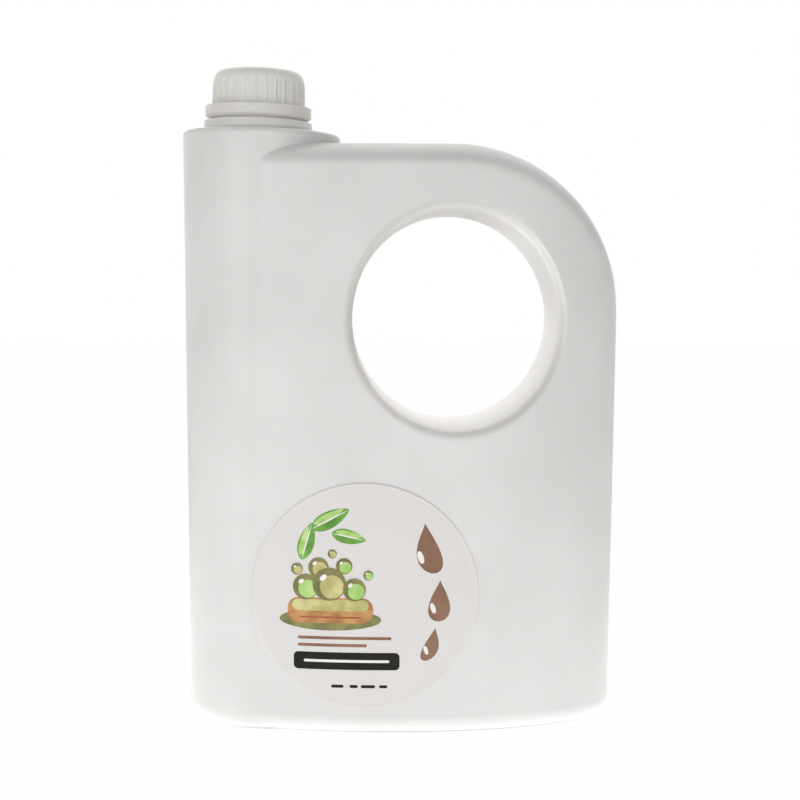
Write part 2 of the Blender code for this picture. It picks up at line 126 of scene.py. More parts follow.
# Two panels before the jug, and the light that the white table throws back up at it. Each has
# its place, its size, its power in watts and the point that it faces.
for name, place, size, power, aim in (
    ("left_panel", (-0.75, -1.05, 0.3), (0.35, 1.0), 2.25, (0.0, 0.0, 0.14)),
    ("front_panel", (0.35, -1.5, 0.35), (1.2, 0.9), 3.55, (0.0, 0.0, 0.14)),
    ("table_bounce", (-0.11, -0.1, 0.0001), (0.95, 0.9), 2.16, (-0.11, -0.1, 1.0)),
):
    lamp = bpy.data.lights.new(name, "AREA")
    lamp.shape = "RECTANGLE"
    lamp.size, lamp.size_y = size
    lamp.energy = power
    lamp_object = bpy.data.objects.new(name, lamp)
    bpy.context.scene.collection.objects.link(lamp_object)
    lamp_object.visible_camera = False
    lamp_object.location = place
    lamp_object.rotation_euler = (Vector(aim) - Vector(place)).to_track_quat("-Z", "Y").to_euler()

bpy.ops.object.select_all(action="DESELECT")
bpy.ops.mesh.primitive_grid_add(
    x_subdivisions=SWEEP_PARTS, y_subdivisions=SWEEP_PARTS, size=SWEEP_SIZE
)
floor = bpy.context.object
floor.name = "white_sweep"
sweep = bpy.data.materials.new("matt_white_sweep")
sweep.use_nodes = True
tree = sweep.node_tree
tree.nodes.clear()
# Matt white paper. The camera sees it white to its edges, with a hint of the jug's shadow.
path = node(tree, "ShaderNodeLightPath")
white_share = {"operation": "MULTIPLY", 1: 0.98}
seen = node(tree, "ShaderNodeMath", white_share, i0=path.outputs["Is Camera Ray"])
matt = node(tree, "ShaderNodeBsdfDiffuse", {"Color": linear("#F6F6F5")})
glow = node(tree, "ShaderNodeEmission", {"Color": linear("#FFFFFF"), "Strength": 1.0})
mix = node(tree, "ShaderNodeMixShader", i0=seen.outputs[0], i1=matt.outputs[0], i2=glow.outputs[0])
node(tree, "ShaderNodeOutputMaterial", Surface=mix.outputs[0])
floor.data.materials.append(sweep)


# The jug: one blown skin of natural high-density polyethylene, milky and a little soft to the
# eye. It is drawn up ring by ring from its base, like the parison in its mould, then the hand
# hole is let through it and its inside taken out, leaving a real wall.
WIDTH = 222.0 * MM
BASE_WIDTH = 216.4 * MM
SHOULDER_HEIGHT = 292.9 * MM
CORNER_RADIUS = 85.5 * MM
BASE_EDGE_RADIUS = 10.0 * MM
DEPTH = 100.0 * MM
NECK_END_FULLNESS = 2.12
HANDLE_END_FULLNESS = 2.0
TOP_EDGE_RISE = 14.0 * MM
TOP_EDGE_FULLNESS = 2.5
COLUMN_RADIUS = 39.8 * MM
COLUMN_HEIGHT = 298.3 * MM
COLUMN_EDGE_RADIUS = 2.4 * MM
COLUMN_BLEND = 9.0 * MM
WALL = 1.1 * MM
STANDING_RING = 9.0 * MM
PUSH_UP_SLOPE = 9.0 * MM
PUSH_UP_HEIGHT = 3.5 * MM
HOLE_X = 26.1 * MM
HOLE_Z = 204.6 * MM
HOLE_HALF_WIDTH = 51.2 * MM
HOLE_HALF_HEIGHT = 54.2 * MM
HOLE_EDGE_RADIUS = 3.5 * MM
GRIP_EDGE_RADIUS = 5.5 * MM
HOLE_FACE_SHARE = 0.4
HOLE_SPOKES = 144
SEAM_HEIGHT = 0.2 * MM
SEAM_HALF_WIDTH = 0.5 * MM
CUT_MERGE = 0.01 * MM
JUG_POINTS, JUG_FINENESS = 46, 14
HOLLOW_POINTS, HOLLOW_FINENESS = 30, 8
COLUMN_RISE_STEPS, COLUMN_EDGE_STEPS = 3, 5
WALL_WAVE_WIDTH = 45.45 * MM
MOULD_GRAIN_WIDTH = 0.714 * MM
HALVINGS = 40
TOP_START = 0.001  # the least share up the column's top, which sets its rings off from the body's
COLUMN_X = -WIDTH / 2 + COLUMN_RADIUS
CORNER_X = WIDTH / 2 - CORNER_RADIUS
CORNER_Z = SHOULDER_HEIGHT - CORNER_RADIUS
NECK_LEAN = math.radians(1.4)


def base_inset(z, inset):
    """How far the round bottom edge draws the section in at height z."""
    radius = BASE_EDGE_RADIUS - inset
    below = max(0.0, radius - (z - inset))
    return radius - math.sqrt(max(0.0, radius**2 - below**2))


def body_end(z, inset, side):
    """How far the body reaches at height z, on the neck's side (-1) or the hole's (1)."""
    full_height = CORNER_Z if side > 0 else COLUMN_HEIGHT
    share = min(1.0, z / full_height)
    return (BASE_WIDTH + (WIDTH - BASE_WIDTH) * share) / 2 - inset - base_inset(z, inset)


def body_depth(x, z, inset):
    """Half the body's depth: the flattened round in plan, rounded over along its top."""
    share = abs(x) / body_end(z, inset, 1 if x > 0.0 else -1)
    top = SHOULDER_HEIGHT - inset
    if x > CORNER_X:
        top = CORNER_Z + math.sqrt(max(0.0, (CORNER_RADIUS - inset) ** 2 - (x - CORNER_X) ** 2))
    below = top - z
    if share >= 1.0 or below <= 0.0:
        return 0.0
    fullness = NECK_END_FULLNESS if x < 0.0 else HANDLE_END_FULLNESS
    plan = (1.0 - share**fullness) ** (1.0 / fullness)
    over = max(0.0, 1.0 - below / (TOP_EDGE_RISE - inset))
    edge = (1.0 - over**TOP_EDGE_FULLNESS) ** (1.0 / TOP_EDGE_FULLNESS)
    return (DEPTH / 2 - inset - base_inset(z, inset)) * plan * edge


def column_side(z, inset):
    """The column's radius before its top edge is rounded, drawn in with the body's draft."""
    draft = WIDTH / 2 - inset - body_end(z, inset, -1)
    return COLUMN_RADIUS - inset - draft / 2


def column_radius(z, inset):
    """The column's radius with its round top edge."""
    edge = max(COLUMN_EDGE_RADIUS - inset, 0.0)
    over = max(0.0, edge - (COLUMN_HEIGHT - inset - z))
    return column_side(z, inset) - edge + math.sqrt(max(0.0, edge**2 - over**2))


def half_depth(x, z, inset):
    """Half the jug's depth: the deeper of body and column, blended on the hole's side."""
    centre = column_side(z, inset) - body_end(z, inset, -1)
    radius = column_radius(z, inset)
    body = body_depth(x, z, inset)
    column = math.sqrt(max(0.0, radius**2 - (x - centre) ** 2))
    blend = COLUMN_BLEND * min(1.0, max(0.0, (x - centre) / radius))
    if blend <= 0.0 or column <= 0.0 or body <= 0.0:
        return max(body, column)
    near = max(0.0, blend - abs(body - column))
    fillet = near**2 / (4 * blend) * min(1.0, column / blend) * min(1.0, body / blend)
    return max(body, column) + fillet


def column_end_angle(z, inset):
    """Angle about the column, from its outer side, where its round meets the body's face."""
    centre = column_side(z, inset) - body_end(z, inset, -1)
    radius = column_radius(z, inset)
    low, high = math.pi / 2, math.pi
    for _ in range(HALVINGS):
        angle = (low + high) / 2
        if body_depth(centre - radius * math.cos(angle), z, inset) < radius * math.sin(angle):
            low = angle
        else:
            high = angle
    return low


def jug_ring(z, inset, points, end_angle, above):
    """One ring round the jug at height z. above is its share of the way up the column's top."""
    centre = column_side(z, inset) - body_end(z, inset, -1)
    radius = column_radius(z, inset)
    stations = [centre - radius * math.cos(end_angle * i / points) for i in range(points)]
    start = centre - radius * math.cos(end_angle)
    end = centre + radius
    if above == 0.0:
        end = body_end(z, inset, 1)
        if z > CORNER_Z:
            end = CORNER_X + math.sqrt(max(0.0, (CORNER_RADIUS - inset) ** 2 - (z - CORNER_Z) ** 2))
    shares = [math.sin(math.pi / 2 * i / points) for i in range(points + 1)]
    stations += [start + (end - start) * share for share in shares]
    depths = [half_depth(x, z, inset) for x in stations]
    depths[0] = depths[-1] = 0.0
    if inset == 0.0:
        # The fine ridge that the mould's parting leaves up both ends of the skin.
        stations.insert(1, stations[0] + SEAM_HEIGHT)
        stations.insert(-1, end - SEAM_HEIGHT)
        depths.insert(1, SEAM_HALF_WIDTH)
        depths.insert(-1, SEAM_HALF_WIDTH)
    slope = math.tan(NECK_LEAN) * above
    ring = [(x, -depth) for x, depth in zip(stations, depths)]
    ring += [(x, depth) for x, depth in zip(stations[-2:0:-1], depths[-2:0:-1])]
    return [(x, y, z - (x - COLUMN_X) * slope) for x, y in ring]


def jug_rings(inset, points, fineness):
    """The jug's rings, from the middle of its pushed-up base to the column's flat top."""
    outer = jug_ring(inset, inset, points, column_end_angle(inset, inset), 0.0)
    across, depth = max(p[0] for p in outer), max(p[1] for p in outer)
    rings = []
    for i in range(fineness + 1):
        swing = math.pi * i / fineness
        reach = STANDING_RING + PUSH_UP_SLOPE * (1.0 - i / fineness)
        rise = inset + PUSH_UP_HEIGHT * (1.0 + math.cos(swing)) / 2
        x_share, y_share = 1 - reach / across, 1 - reach / depth
        rings.append([(x * x_share, y * y_share, rise) for x, y, z in outer])
    rings.append(outer)

    # Heights up the round bottom edge, the straight sides, the round corner, and the top's edge.
    edge = BASE_EDGE_RADIUS - inset
    edge_top = inset + edge
    quarter = math.pi / 2
    heights = [inset + edge * (1 - math.cos(quarter * i / fineness)) for i in range(1, fineness)]
    steps = 2 * fineness
    heights += [edge_top + (CORNER_Z - edge_top) * i / steps for i in range(steps + 1)]
    swing = math.asin((SHOULDER_HEIGHT - TOP_EDGE_RISE - CORNER_Z) / CORNER_RADIUS)
    for i in range(1, steps):
        heights.append(CORNER_Z + (CORNER_RADIUS - inset) * math.sin(swing * i / steps))
    rise = TOP_EDGE_RISE - inset
    steps = 3 * fineness
    for i in range(steps):
        heights.append(SHOULDER_HEIGHT - inset - rise * (1 - math.sin(quarter * i / steps)))
    for z in heights:
        rings.append(jug_ring(z, inset, points, column_end_angle(z, inset), 0.0))

    # The column's straight rise above the shoulder, and its round top edge.
    last = column_end_angle(heights[-1], inset)
    low, high = SHOULDER_HEIGHT - inset, COLUMN_HEIGHT - inset
    round_over = max(COLUMN_EDGE_RADIUS - inset, 0.0)
    steps = COLUMN_RISE_STEPS
    tops = [low + (high - round_over - low) * i / steps for i in range(steps + 1)]
    steps = COLUMN_EDGE_STEPS
    tops += [high - round_over * (1 - math.sin(quarter * i / steps)) for i in range(1, steps + 1)]
    for z in tops:
        rings.append(jug_ring(z, inset, points, last, max(TOP_START, (z - low) / (high - low))))
    return rings


def draw_up(name, rings):
    """A closed form: a filled circle is extruded again and again, and set to each ring in turn."""
    bpy.ops.object.select_all(action="DESELECT")
    bpy.ops.mesh.primitive_circle_add(vertices=len(rings[0]), fill_type="NGON")
    piece = bpy.context.object
    piece.name = name
    spoke = piece.data.attributes.new("spoke", "INT", "POINT")
    for i in range(len(rings[0])):
        spoke.data[i].value = i
    bpy.ops.object.mode_set(mode="EDIT")
    bpy.ops.mesh.select_all(action="SELECT")
    for i, ring in enumerate(rings):
        if i:
            bpy.ops.mesh.extrude_region_move()
        form = bmesh.from_edit_mesh(piece.data)
        layer = form.verts.layers.int["spoke"]
        for v in form.verts:
            if v.select:
                v.co = ring[v[layer]]
        bmesh.update_edit_mesh(piece.data)
    bpy.ops.mesh.select_all(action="SELECT")
    bpy.ops.mesh.normals_make_consistent(inside=False)
    bpy.ops.object.mode_set(mode="OBJECT")
    piece.data.attributes.remove(piece.data.attributes["spoke"])
    return piece


def cut(piece, other, operation):
    """Joins another form to a piece or takes it away, and drops that form."""
    made = piece.modifiers.new("cut", "BOOLEAN")
    made.object = other
    made.operation = operation
    made.solver = "EXACT"
    bpy.ops.object.select_all(action="DESELECT")
    piece.select_set(True)
    bpy.context.view_layer.objects.active = piece
    bpy.ops.object.modifier_apply(modifier=made.name)
    bpy.ops.object.mode_set(mode="EDIT")
    bpy.ops.mesh.select_all(action="SELECT")
    bpy.ops.mesh.remove_doubles(threshold=CUT_MERGE)
    bpy.ops.object.mode_set(mode="OBJECT")
    bpy.data.objects.remove(other)


def hole_cutter(name, inset):
    """What passes through the hand hole, flared to round its edge over on both faces."""
    swings = [math.radians(a) for a in (0, 12, 24, 36, 48, 60, 70, 78, 84)]
    rings = [[] for _ in range(len(swings) + 1)]
    for i in range(HOLE_SPOKES):
        turn = math.tau * i / HOLE_SPOKES
        c, s = math.cos(turn), math.sin(turn)
        radius = HOLE_EDGE_RADIUS + (GRIP_EDGE_RADIUS - HOLE_EDGE_RADIUS) * (1.0 + c) / 2
        out = Vector((HOLE_HALF_HEIGHT * c, HOLE_HALF_WIDTH * s)).normalized()
        rim = Vector((HOLE_X + HOLE_HALF_WIDTH * c, HOLE_Z + HOLE_HALF_HEIGHT * s))
        rim_depth = half_depth(rim.x, rim.y, 0.0)
        tangent = rim + out * radius
        tangent_depth = half_depth(tangent.x, tangent.y, 0.0)
        face = min(rim_depth, tangent_depth + HOLE_FACE_SHARE * (rim_depth - tangent_depth))
        for ring, swing in zip(rings, swings):
            point = rim + out * (radius - (radius - inset) * math.cos(swing))
            ring.append((point.x, face - radius + (radius - inset) * math.sin(swing), point.y))
        x, y, z = rings[-2][-1]
        flare = out * radius / 3
        rings[-1].append((x + flare.x, DEPTH / 2 + radius, z + flare.y))
    middle = [(x, 0.0, z) for x, y, z in rings[0]]
    front = [[(x, -y, z) for x, y, z in ring] for ring in reversed(rings)]
    return draw_up(name, front + [middle] + rings)


jug = draw_up("jug", jug_rings(0.0, JUG_POINTS, JUG_FINENESS))
hollow = draw_up("jug_hollow", jug_rings(WALL, HOLLOW_POINTS, HOLLOW_FINENESS))
cut(hollow, hole_cutter("hole_skin", WALL), "DIFFERENCE")


# The neck: the same plastic, blown to a thicker foot with a flange, a groove and a bead for the
# tamper band, and an upright tube with one and a half turns of thread. It leans a little with
# the column's sloping top and is one piece with the jug.
NECK_OFFSET = 1.9 * MM
NECK_HEIGHT = 28.0 * MM
NECK_BORE_RADIUS = 17.5 * MM
NECK_RADIUS = 20.1 * MM
NECK_FOOT = 3.0 * MM
FLANGE_RADIUS = 27.4 * MM
FLANGE_HEIGHT = 5.8 * MM
GROOVE_RADIUS = 23.3 * MM
BEAD_RADIUS = 24.3 * MM
BEAD_START = 9.5 * MM
BEAD_HEIGHT = 1.8 * MM
THREAD_PITCH = 4.2 * MM
THREAD_TURNS = 1.5
THREAD_DEPTH = 1.3 * MM
THREAD_WIDTH = 1.6 * MM
THREAD_ROOT = 0.5 * MM
NECK_THREAD_START = 16.9 * MM
NECK_CORNER_RADIUS = 0.9 * MM
NECK_WHITE_START = 300.0 * MM
PROFILE_CENTRE = 0.02 * MM
TURN_STEPS = 96
THREAD_STEPS_PER_TURN = 48
THREAD_END_DEPTH = 0.15
THREAD_END_RISE = 6.0
SIDES_PER_CORNER = 2.2
SHARP_EDGE = math.radians(32)
NECK_X = COLUMN_X - NECK_OFFSET
NECK_TOP_Z = COLUMN_HEIGHT + NECK_OFFSET * math.tan(NECK_LEAN)
NECK_PLACE = Matrix.Translation((NECK_X, 0.0, NECK_TOP_Z)) @ Matrix.Rotation(NECK_LEAN, 4, "Y")


def on_neck(radius, turn, height):
    """A point about the neck's own leaning axis."""
    return NECK_PLACE @ Vector((radius * math.cos(turn), radius * math.sin(turn), height))


def turned_rings(profile):
    """Rings about the neck's axis, through (radius, height) points."""
    turns = [math.tau * i / TURN_STEPS for i in range(TURN_STEPS)]
    return [[on_neck(radius, turn, height) for turn in turns] for radius, height in profile]


def softened(profile, radius, steps=3):
    """A profile with its corners rounded to a radius, as moulded corners are."""
    points = [profile[0]]
    for before, corner, after in zip(profile, profile[1:], profile[2:]):
        corner, before, after = Vector(corner), Vector(before), Vector(after)
        back, on = before - corner, after - corner
        reach = min(radius, back.length / SIDES_PER_CORNER, on.length / SIDES_PER_CORNER)
        a = corner + back.normalized() * reach
        b = corner + on.normalized() * reach
        for i in range(steps + 1):
            t = i / steps
            points.append(tuple(a * (1 - t) ** 2 + corner * 2 * t * (1 - t) + b * t**2))
    return points + [profile[-1]]


def thread_rings(root, tip, start, turns):
    """Four-cornered rings along one helical ridge with tapered ends."""
    rings = []
    steps = round(turns * THREAD_STEPS_PER_TURN)
    for i in range(steps + 1):
        share = i / steps
        turn = math.tau * turns * share
        ends = min(1.0, THREAD_END_DEPTH + THREAD_END_RISE * min(share, 1.0 - share))
        reach = root + (tip - root) * ends
        height = start + THREAD_PITCH * turns * share
        half = THREAD_WIDTH / 2
        corners = ((root, -half), (reach, -half / 2), (reach, half / 2), (root, half))
        rings.append([on_neck(radius, turn, height + rise) for radius, rise in corners])
    return rings


neck_profile = [
    (PROFILE_CENTRE, -NECK_FOOT),
    (FLANGE_RADIUS, -NECK_FOOT),
    (FLANGE_RADIUS, FLANGE_HEIGHT),
    (GROOVE_RADIUS, FLANGE_HEIGHT),
    (GROOVE_RADIUS, BEAD_START),
    (BEAD_RADIUS, BEAD_START),
    (BEAD_RADIUS, BEAD_START + BEAD_HEIGHT),
    (NECK_RADIUS, BEAD_START + BEAD_HEIGHT + (BEAD_RADIUS - NECK_RADIUS) / 2),
    (NECK_RADIUS, NECK_HEIGHT),
    (PROFILE_CENTRE, NECK_HEIGHT),
]
neck = draw_up("neck", turned_rings(softened(neck_profile, NECK_CORNER_RADIUS)))
root, tip = NECK_RADIUS - THREAD_ROOT, NECK_RADIUS + THREAD_DEPTH
thread = draw_up("thread", thread_rings(root, tip, NECK_THREAD_START, THREAD_TURNS))
bore_ends = (-2 * NECK_FOOT, NECK_HEIGHT + NECK_FOOT)
bore = draw_up("bore", turned_rings([(NECK_BORE_RADIUS, height) for height in bore_ends]))
cut(neck, thread, "UNION")
cut(hollow, bore, "UNION")
cut(jug, neck, "UNION")
cut(jug, hole_cutter("hole", 0.0), "DIFFERENCE")
cut(jug, hollow, "DIFFERENCE")

# Blow-moulded natural HDPE: milky, light goes about a millimetre in, with a fine matt grain from
# the blasted mould and slow waves where the wall is thicker or thinner. The real grain, about
# 0.1 mm, is too fine to show and is drawn coarser.
polyethylene = bpy.data.materials.new("natural_polyethylene")
polyethylene.use_nodes = True
tree = polyethylene.node_tree
tree.nodes.clear()
place = node(tree, "ShaderNodeTexCoord").outputs["Object"]
wall_waves = {"Scale": 1 / WALL_WAVE_WIDTH, "Detail": 3.0}
mould_grain = {"Scale": 1 / MOULD_GRAIN_WIDTH, "Detail": 2.0}
waves = node(tree, "ShaderNodeTexNoise", wall_waves, Vector=place)
grain = node(tree, "ShaderNodeTexNoise", mould_grain, Vector=place)
tint = node(tree, "ShaderNodeValToRGB", Fac=waves.outputs["Fac"])
low, high = tint.color_ramp.elements
low.position, high.position = 0.35, 0.7
low.color, high.color = linear("#E2E1E0"), linear("#E7E7E6")

# Painted light: round the lower half of the hand hole the wall is coloured whiter and a touch warm,
# for the light that comes through it from behind. Painted shade: over the hole the round rim is
# coloured darker, keeping it out of the table's bounce light. reach is 1 on the hole's wall and
# grows outwards.
hole_middle = {"operation": "SUBTRACT", 1: (HOLE_X, 0.0, HOLE_Z)}
hole_shares = {"operation": "MULTIPLY", 1: (1 / HOLE_HALF_WIDTH, 0.0, 1 / HOLE_HALF_HEIGHT)}
downwards = {"operation": "DOT_PRODUCT", 1: (0.9, 0.0, -1.0)}
hole = node(tree, "ShaderNodeVectorMath", hole_middle, i0=place)
hole = node(tree, "ShaderNodeVectorMath", hole_shares, i0=hole.outputs[0])
reach = node(tree, "ShaderNodeVectorMath", {"operation": "LENGTH"}, i0=hole.outputs[0])
reach = reach.outputs["Value"]
wall = node(tree, "ShaderNodeMapRange", {"From Min": 1.035, "From Max": 1.005}, Value=reach)
rim = node(tree, "ShaderNodeMapRange", {"From Min": 1.09, "From Max": 1.06}, Value=reach)
lower = node(tree, "ShaderNodeVectorMath", downwards, i0=hole.outputs[0]).outputs["Value"]
lower = node(tree, "ShaderNodeMapRange", {"From Min": -0.75, "From Max": 0.1}, Value=lower)
upper = node(tree, "ShaderNodeMath", {"operation": "SUBTRACT", 0: 1.0}, i1=lower.outputs[0])
times = {"operation": "MULTIPLY"}
painted_light_hole_wall = node(tree, "ShaderNodeMath", times, i0=wall.outputs[0], i1=lower.outputs[0])
painted_shade_hole_rim = node(tree, "ShaderNodeMath", times, i0=rim.outputs[0], i1=upper.outputs[0])
# Painted shade: the darker tint of the rim over the hole.
shade = {"data_type": "RGBA", 7: linear("#D3D2CE")}
tint = node(tree, "ShaderNodeMix", shade, i0=painted_shade_hole_rim.outputs[0], i6=tint.outputs[0])

# Painted light: the neck is coloured whiter, lifting the shade that falls on its flange under the
# tamper band.
up = node(tree, "ShaderNodeSeparateXYZ", Vector=place).outputs["Z"]
above_top = {"From Min": NECK_WHITE_START, "From Max": NECK_WHITE_START + 1.0 * MM}
painted_light_neck = node(tree, "ShaderNodeMapRange", above_top, Value=up)
larger = {"operation": "MAXIMUM"}
# The painted light of the neck and of the hole's lower wall take the same whiter tint.
white = node(tree, "ShaderNodeMath", larger, i0=painted_light_hole_wall.outputs[0], i1=painted_light_neck.outputs[0])
shade = {"data_type": "RGBA", 7: linear("#FEFCF9")}
tint = node(tree, "ShaderNodeMix", shade, i0=white.outputs[0], i6=tint.outputs[2])

grains, swells = grain.outputs["Fac"], waves.outputs["Fac"]
dull = node(tree, "ShaderNodeMapRange", {"To Min": 0.34, "To Max": 0.44}, Value=grains)
relief = node(tree, "ShaderNodeBump", {"Strength": 0.12, "Distance": 0.0002}, Height=grains)
swell = {"Strength": 0.1, "Distance": 0.0004}
relief = node(tree, "ShaderNodeBump", swell, Height=swells, Normal=relief.outputs[0])
plastic = node(
    tree,
    "ShaderNodeBsdfPrincipled",
    {
        "IOR": 1.54,
        "Subsurface Weight": 0.7,
        "Subsurface Scale": 0.0012,
        "Subsurface Radius": (1.0, 0.95, 0.88),
    },
    Base_Color=tint.outputs[2],
    Roughness=dull.outputs[0],
    Normal=relief.outputs[0],
)
node(tree, "ShaderNodeOutputMaterial", Surface=plastic.outputs[0])


def finish_piece(piece, material, body, slot, *nodes):
    """Shades a piece smooth up to its sharp edges, gives it its material and ties it down."""
    bpy.ops.object.select_all(action="DESELECT")
    piece.select_set(True)
    bpy.context.view_layer.objects.active = piece
    piece.data.materials.clear()
    piece.data.materials.append(material)
    bpy.ops.object.shade_smooth_by_angle(angle=SHARP_EDGE)
    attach(piece, body)
    if nodes:
        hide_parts(*nodes)


finish_piece(jug, polyethylene, "jug", "milky_plastic", "bottle")


# The tamper band: a turned ring of white polypropylene under the cap, left on the neck when the
# cap is first unscrewed. Its lip snaps under the neck's bead.
BAND_RADIUS = 26.9 * MM
BAND_FOOT = 6.8 * MM
BAND_HEIGHT = 6.3 * MM
BAND_CHAMFER = 1.4 * MM
BAND_CHAMFER_WIDTH = 2.2 * MM
BAND_LIP_RADIUS = 23.6 * MM
BAND_LIP_HEIGHT = 2.3 * MM
BAND_BORE_RADIUS = 24.6 * MM
BAND_CORNER_RADIUS = 0.5 * MM
BAND_TOP_SLOPE = 0.1 * MM
BAND_TOP_SLOPE_WIDTH = 0.6 * MM
ROUND_MERGE = 0.002 * MM
CLOUD_WIDTH = 16.67 * MM
FLOW_MARK_WIDTH = 0.4545 * MM
CAP_BORE_RADIUS = 21.85 * MM


def draw_round(name, rings):
    """A ring-shaped form: drawn up from its first ring round to the same ring again."""
    piece = draw_up(name, rings + rings[:1])
    bpy.ops.object.mode_set(mode="EDIT")
    form = bmesh.from_edit_mesh(piece.data)
    ends = [face for face in form.faces if len(face.verts) == len(rings[0])]
    bmesh.ops.delete(form, geom=ends, context="FACES_ONLY")
    bmesh.update_edit_mesh(piece.data)
    bpy.ops.mesh.select_all(action="SELECT")
    bpy.ops.mesh.remove_doubles(threshold=ROUND_MERGE)
    bpy.ops.mesh.normals_make_consistent(inside=False)
    bpy.ops.object.mode_set(mode="OBJECT")
    return piece


band_top = BAND_FOOT + BAND_HEIGHT
band_profile = [
    (CAP_BORE_RADIUS + BAND_TOP_SLOPE_WIDTH, band_top),
    (BAND_RADIUS, band_top),
    (BAND_RADIUS, BAND_FOOT + BAND_CHAMFER),
    (BAND_RADIUS - BAND_CHAMFER_WIDTH, BAND_FOOT),
    (BAND_LIP_RADIUS, BAND_FOOT),
    (BAND_LIP_RADIUS, BAND_FOOT + BAND_LIP_HEIGHT),
    (BAND_BORE_RADIUS, BAND_FOOT + BAND_LIP_HEIGHT),
    (BAND_BORE_RADIUS, band_top - BAND_CHAMFER),
    (CAP_BORE_RADIUS, band_top - BAND_TOP_SLOPE),
]
band = draw_round("tamper_ring", turned_rings(softened(band_profile, BAND_CORNER_RADIUS)))

# Injection-moulded white polypropylene: opaque, faintly green-grey, a satin skin with very fine
# flow marks round it, drawn about twice as wide as they are.
polypropylene = bpy.data.materials.new("white_polypropylene")
polypropylene.use_nodes = True
tree = polypropylene.node_tree
tree.nodes.clear()
place = node(tree, "ShaderNodeTexCoord").outputs["Object"]
clouding = {"Scale": 1 / CLOUD_WIDTH, "Detail": 3.0}
flow_marks = {"Scale": 1 / FLOW_MARK_WIDTH, "Detail": 1.0}
cloud = node(tree, "ShaderNodeTexNoise", clouding, Vector=place)
fine = node(tree, "ShaderNodeTexNoise", flow_marks, Vector=place)
tint = node(tree, "ShaderNodeValToRGB", Fac=cloud.outputs["Fac"])
low, high = tint.color_ramp.elements
low.color, high.color = linear("#E9E8E3"), linear("#F0EFEB")
clouds, marks = cloud.outputs["Fac"], fine.outputs["Fac"]
dull = node(tree, "ShaderNodeMapRange", {"To Min": 0.30, "To Max": 0.40}, Value=clouds)
relief = node(tree, "ShaderNodeBump", {"Strength": 0.1, "Distance": 0.0001}, Height=marks)
plastic = node(
    tree,
    "ShaderNodeBsdfPrincipled",
    {"IOR": 1.49, "Subsurface Weight": 0.15, "Subsurface Scale": 0.002},
    Base_Color=tint.outputs[0],
    Roughness=dull.outputs[0],
    Normal=relief.outputs[0],
)
node(tree, "ShaderNodeOutputMaterial", Surface=plastic.outputs[0])
finish_piece(band, polypropylene, "jug", "white_plastic", "tamper_band")


# The screw cap: an injection-moulded shell of the same white polypropylene with a round top
# edge, thirty grip ribs with a fine groove beside each, and a thread inside.
CAP_RADIUS = 22.8 * MM
CAP_DRAFT = 0.4 * MM
CAP_CROWN = 31.4 * MM
CAP_FOOT = 13.4 * MM
CAP_CEILING = 29.8 * MM
CAP_EDGE_RADIUS = 5.2 * MM
CAP_INNER_CHAMFER = 1.0 * MM
CAP_MIDDLE_RADIUS = 2.0 * MM
CAP_FLAT_RADIUS = 10.0 * MM
CAP_EDGE_STEPS = 10
CAP_LIP = 0.2 * MM
CAP_THREAD_START = 14.8 * MM
RIB_COUNT = 30
RIB_HEIGHT = 0.4 * MM
RIB_POINTS = 16
RIB_END_GAP = 6.0 * MM
# Shares of one rib's pitch: where the rib and the groove lie, and how wide each is to one side.
RIB_START = 0.14
RIB_PLACE = 0.36
RIB_SIDE = 0.17
GROOVE_PLACE = 0.66
GROOVE_SIDE = 0.09
GROOVE_DEPTH = 0.35 * RIB_HEIGHT


def rib_relief(share):
    """How far the grip stands out at a share of the pitch: a round rib, then a fine groove."""
    rib = max(0.0, 1.0 - ((share - RIB_PLACE) / RIB_SIDE) ** 2)
    groove = max(0.0, 1.0 - ((share - GROOVE_PLACE) / GROOVE_SIDE) ** 2)
    return RIB_HEIGHT * rib - GROOVE_DEPTH * groove


def cap_ring(radius, height, grip):
    """One ring of the cap, with its ribs standing out by a share of their full height."""
    ring = []
    for i in range(RIB_COUNT * RIB_POINTS):
        turn = math.tau * (i / RIB_POINTS + RIB_START) / RIB_COUNT
        reach = radius + grip * rib_relief(i % RIB_POINTS / RIB_POINTS)
        ring.append(on_neck(reach, turn, height))
    return ring


# From the middle of the crown over its round edge, down the ribs, and up inside to the ceiling.
cap_rings = [cap_ring(radius, CAP_CROWN, 0.0) for radius in (CAP_MIDDLE_RADIUS, CAP_FLAT_RADIUS)]
for i in range(CAP_EDGE_STEPS + 1):
    swing = math.pi / 2 * (1 - i / CAP_EDGE_STEPS)
    radius = CAP_RADIUS - CAP_EDGE_RADIUS * (1.0 - math.cos(swing))
    height = CAP_CROWN - CAP_EDGE_RADIUS * (1.0 - math.sin(swing))
    cap_rings.append(cap_ring(radius, height, 0.0))
rib_top = CAP_CROWN - RIB_END_GAP
